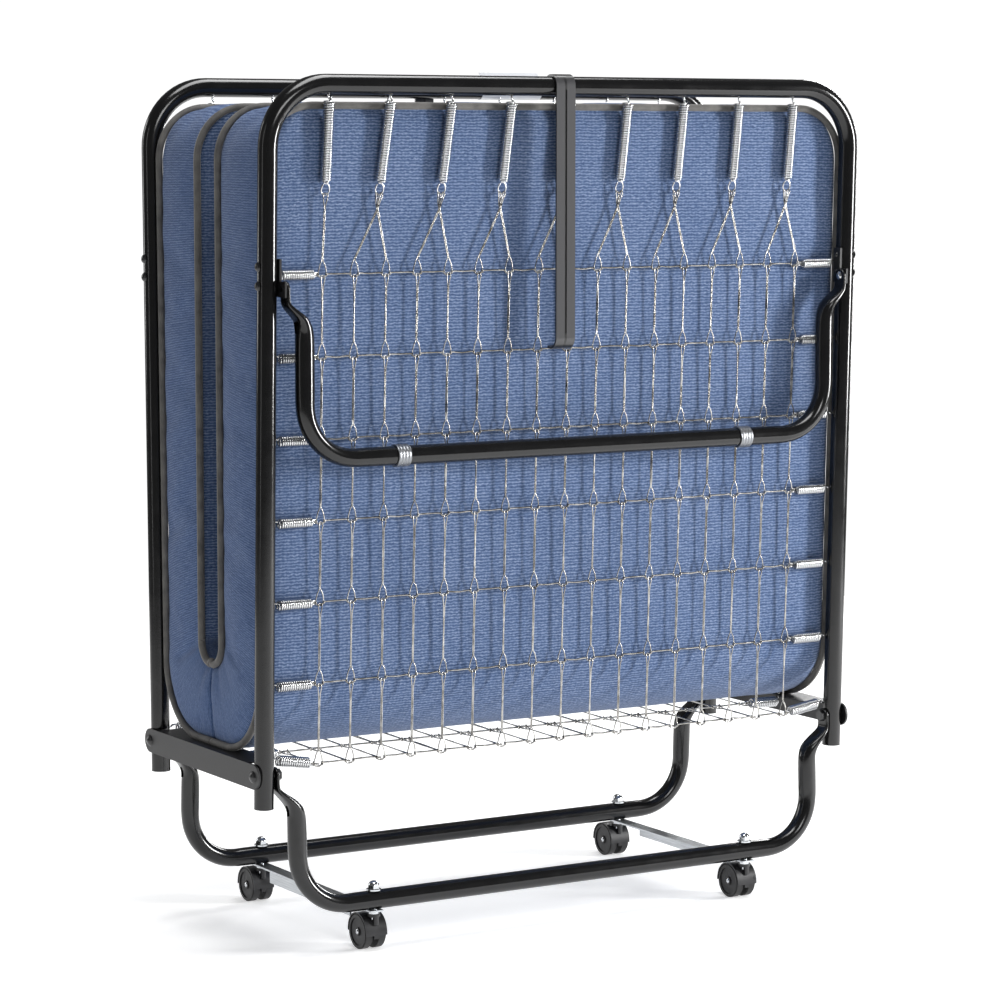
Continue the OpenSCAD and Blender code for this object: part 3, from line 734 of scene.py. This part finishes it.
# fills the cover with a little air and gives the shape it settles to
def puffUp(piece, pinned):
    group = piece.vertex_groups.new(name="held")
    group.add(pinned, 1.0, "REPLACE")
    cloth = piece.modifiers.new("cover", "CLOTH")
    cloth.settings.quality = 4
    cloth.settings.mass = 0.4
    cloth.settings.tension_stiffness = 18
    cloth.settings.compression_stiffness = 18
    cloth.settings.bending_stiffness = 1.5
    cloth.settings.shrink_min = -0.012
    cloth.settings.use_pressure = True
    cloth.settings.uniform_pressure_force = 3.0
    cloth.settings.vertex_group_mass = "held"
    cloth.settings.effector_weights.gravity = 0
    cloth.point_cache.frame_start, cloth.point_cache.frame_end = 1, 14
    for step in range(1, 15):
        scene.frame_set(step)
    shaped = piece.evaluated_get(bpy.context.evaluated_depsgraph_get())
    moved = [v.co.copy() for v in shaped.data.vertices]
    piece.modifiers.remove(cloth)
    scene.frame_set(1)
    return moved


def mattressHalf(side):
    rows = halfRows(side)
    sign = -1 if side == "front" else 1
    columns = pad["columns"]
    run = [0.0]
    for (a, b, _), (c, d, _) in zip(rows, rows[1:]):
        middle = ((a[0] + b[0]) / 2 - (c[0] + d[0]) / 2, (a[1] + b[1]) / 2 - (c[1] + d[1]) / 2)
        outside = math.hypot(a[0] - c[0], a[1] - c[1])
        run.append(run[-1] + max(outside, math.hypot(*middle)))
    body = bmesh.new()
    uvLayer = body.loops.layers.uv.new("cover")
    normals, kinds, uvOf = {}, {}, {}

    def vertex(x, y, z, kind, uv, normal):
        made = body.verts.new((x / 1000, sign * y / 1000, z / 1000))
        normals[made], kinds[made] = Vector((normal[0], sign * normal[1], normal[2])).normalized(), kind
        uvOf[made] = uv
        return made

    def edgeOf(row, column):
        x = abs(column / columns * 2 - 1) * rows[row][2]
        toEdge = min(rows[row][2] - x, rows[-1][0][1] - rows[row][0][1])
        return 1 - smoothStep(toEdge / pad["rollReach"])

    grids = {}
    for which, index in (("outer", 0), ("inner", 1)):
        grid = []
        for r, row in enumerate(rows):
            y, z = row[index]
            before, after = rows[max(r - 1, 0)][index], rows[min(r + 1, len(rows) - 1)][index]
            slope = Vector((0, after[0] - before[0], after[1] - before[1])).normalized()
            normal = (0, slope.z, -slope.y) if index == 0 else (0, -slope.z, slope.y)
            line = []
            for c in range(columns + 1):
                x = (c / columns * 2 - 1) * row[2]
                sink = pad["roll"] * edgeOf(r, c)
                if index and r < 2:
                    sink = 0
                line.append(vertex(x, y - normal[1] * sink, z - normal[2] * sink, which,
                                   (x / 1000, run[r] / 1000), normal))
            grid.append(line)
        grids[which] = grid
    outer, inner = grids["outer"], grids["inner"]
    last, thick = len(rows) - 1, pad["thick"]
    rim = [(r, 0) for r in range(last + 1)] + [(last, c) for c in range(1, columns)]
    rim += [(r, columns) for r in range(last, -1, -1)]
    ringAt = [0]
    for (r, c), (nextR, nextC) in zip(rim, rim[1:]):
        step = abs(run[nextR] - run[r])
        if nextR == r:
            step += abs(outer[nextR][nextC].co.x - outer[r][c].co.x) * 1000
        ringAt.append(ringAt[-1] + step)
    bands = []
    for (r, c), far in zip(rim, ringAt):
        a, b = outer[r][c], inner[r][c]
        if c in (0, columns):
            tilt = math.pi / 2 * max(0, r - last + pad["cornerRows"]) / pad["cornerRows"]
            outward = ((-1 if c == 0 else 1) * math.cos(tilt), 0, math.sin(tilt))
        else:
            outward = (0, 0, 1)
        line = [a]
        for t in range(1, thick):
            share = t / thick
            p = a.co.lerp(b.co, share) * 1000
            bulge = pad["bulge"] * math.sin(math.pi * share)
            line.append(vertex(p.x + outward[0] * bulge, sign * p.y, p.z + outward[2] * bulge, "border",
                               (share * pad["side"], far / 1000), outward))
        bands.append(line + [b])
    split = [bands[0]]
    for c in range(1, columns):
        line = [outer[0][c]]
        for t in range(1, thick):
            p = outer[0][c].co.lerp(inner[0][c].co, t / thick) * 1000
            line.append(vertex(p.x, 0, p.z, "split", (p.x / 1000, p.z / 1000), (0, -1, 0)))
        split.append(line + [inner[0][c]])
    split.append(bands[-1])

    def face(corners, slotIndex):
        made = body.faces.new(corners if sign < 0 else corners[::-1])
        made.material_index = slotIndex
        made.smooth = True
        return made

    for r in range(last):
        for c in range(columns):
            face([outer[r][c], outer[r][c + 1], outer[r + 1][c + 1], outer[r + 1][c]], 0)
            face([inner[r][c], inner[r + 1][c], inner[r + 1][c + 1], inner[r][c + 1]], 0)
    borderUv = {}
    for k in range(len(rim) - 1):
        for t in range(thick):
            corners = ((k, t), (k + 1, t), (k + 1, t + 1), (k, t + 1))
            made = face([bands[i][j] for i, j in corners], 1)
            for i, j in corners:
                borderUv[(made, bands[i][j])] = (j / thick * pad["side"], ringAt[i] / 1000)
    for c in range(columns):
        for t in range(thick):
            face([split[c][t], split[c][t + 1], split[c + 1][t + 1], split[c + 1][t]], 0)
    for made in body.faces:
        for loop in made.loops:
            loop[uvLayer].uv = borderUv.get((made, loop.vert), uvOf[loop.vert])
    body.verts.index_update()
    order = list(body.verts)
    for edge in body.edges:
        if "split" in [kinds[v] for v in edge.verts]:
            edge.smooth = False
    directions = [normals[v] for v in order]
    kindList = [kinds[v] for v in order]
    rimSet = {outer[r][c] for r, c in rim} | {inner[r][c] for r, c in rim}
    fixed = rimSet | set(outer[0]) | set(inner[0])
    held = [v.index for v in order if v in fixed or kinds[v] == "split"]
    pipes = [[(grid[r][c].co.copy(), directions[bands[k][1].index], directions[grid[r][c].index])
              for k, (r, c) in enumerate(rim)] for grid in (outer, inner)]
    mesh = bpy.data.meshes.new(side + "_mattress_half")
    body.to_mesh(mesh)
    body.free()
    mesh.materials.append(materials["mattress_fabric"])
    mesh.materials.append(materials["mattress_border"])
    piece = bpy.data.objects.new(side + "_mattress_half", mesh)
    scene.collection.objects.link(piece)
    rest = [v.co.copy() for v in mesh.vertices]
    moved = puffUp(piece, held)
    for i in set(range(len(rest))) - set(held):
        kind, v = kindList[i], mesh.vertices[i]
        gone = moved[i] - rest[i]
        along = gone.dot(directions[i])
        sideways = gone - directions[i] * along
        if sideways.length > pad["slide"]:
            sideways *= pad["slide"] / sideways.length
        outwards = max(-pad["sink"], min(pad["crown"][kind] / 1000, along))
        lump = min(noise.noise(rest[i] * pad["lumpSize"]) * pad["lump"][kind], pad["lumpLimit"][kind])
        v.co = rest[i] + directions[i] * (outwards + lump) + sideways
    mesh.update()
    fine = piece.modifiers.new("finer", "SUBSURF")
    fine.levels = fine.render_levels = 1
    fine.boundary_smooth = "PRESERVE_CORNERS"
    flat = bpy.data.meshes.new_from_object(piece.evaluated_get(bpy.context.evaluated_depsgraph_get()))
    piece.modifiers.clear()
    piece.data = flat
    return piece, pipes


# metres; a thin tilted band across each half; its start and end are found but not used
bend = {"middle": 0.3434, "length": 0.0001, "tilt": 0.682, "up": 0.731, "search": 0.004}


# start and end of the band, moved to where no point of the piece falls inside it
def bendBand(piece, sign):
    tilt, up, middle = sign * bend["tilt"], bend["up"], bend["middle"]
    along = sorted(v.co.y * tilt + (v.co.z - middle) * up for v in piece.data.vertices)
    near = [a for a in along if abs(a) < bend["search"]]
    below, above = max(zip(near, near[1:]), key=lambda pair: pair[1] - pair[0])
    first = (below + above - bend["length"]) / 2
    return [(0, tilt * t, middle + up * t) for t in (first, first + bend["length"])]


for side in sides:
    piece, pipes = mattressHalf(side)
    sign = -1 if side == "front" else 1
    start, end = bendBand(piece, sign)
    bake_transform(piece)
    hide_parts("mattress_" + side)
    if side == "front":
        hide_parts("mattress_fold")
    tubes = tubeSet()
    for path in pipes:
        line = [p + (edge * pad["pipeOut"] + face * pad["pipeUp"]) / 1000 for p, edge, face in path]
        line[0].y = line[-1].y = 0
        tubes.sweep(smoothPath(line, 2), pad["pipe"] / 1000, 8)
    welt = tubes.build(side + "_mattress_piping", materials["piping"])
    start, end = bendBand(welt, sign)
    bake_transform(welt)
print("mattress done")


# floor and light

floorRadius = 2.8
body = bmesh.new()
bmesh.ops.create_circle(body, cap_ends=True, segments=96, radius=floorRadius)
mesh = bpy.data.meshes.new("studio_floor")
body.to_mesh(mesh)
body.free()
# matt white paper sweep, lit a little from within so that it burns out to white
floorMaterial, tree, shader = newMaterial("white_studio_paper", "#f6f6f6", 0.9, Specular_IOR_Level=0.1,
                                          Emission_Strength=0.42)
shader.inputs["Emission Color"].default_value = (1, 1, 1, 1)
mesh.materials.append(floorMaterial)
floor = bpy.data.objects.new("studio_floor", mesh)
scene.collection.objects.link(floor)

# white surround; what lights the object is dimmer, so the black paint stays black
world = bpy.data.worlds.new("studio")
world.use_nodes = True
tree = world.node_tree
tree.nodes["Background"].inputs["Strength"].default_value = 0.14
seen = addNode(tree, "ShaderNodeBackground", None, {"Color": (1, 1, 1, 1), "Strength": 1.05})
tree.nodes["Background"].inputs["Color"].default_value = (1, 1, 1, 1)
path = addNode(tree, "ShaderNodeLightPath")
both = addNode(tree, "ShaderNodeMixShader", {0: path.outputs["Is Camera Ray"],
                                             1: tree.nodes["Background"].outputs[0], 2: seen.outputs[0]})
tree.links.new(both.outputs[0], tree.nodes["World Output"].inputs["Surface"])
scene.world = world

lamps = {
    "overhead": {"at": (0.2, -0.2, 3.0), "size": (2.6, 1.0), "power": 66},
    "key_right": {"at": (2.9, -2.0, 1.0), "size": (0.45, 1.6), "power": 150},
    "left_strip": {"at": (-3.2, -0.2, 1.1), "size": (0.2, 2.2), "power": 4},
    "front_fill": {"at": (-0.2, -4.6, 2.4), "size": (1.8, 0.9), "power": 42},
    "back_left": {"at": (-2.2, 3.2, 1.4), "size": (0.9, 2.0), "power": 26},
    "back_right": {"at": (2.6, 2.4, 1.2), "size": (0.3, 2.0), "power": 40},
}
aim = Vector((0, 0, 0.5))
for name, lamp in lamps.items():
    data = bpy.data.lights.new(name, "AREA")
    data.shape = "RECTANGLE"
    data.size, data.size_y = lamp["size"]
    data.energy = lamp["power"]
    light = bpy.data.objects.new(name, data)
    light.location = lamp["at"]
    light.rotation_euler = (aim - Vector(lamp["at"])).to_track_quat("-Z", "Y").to_euler()
    scene.collection.objects.link(light)
scene.view_settings.view_transform = "Standard"
print("studio done")
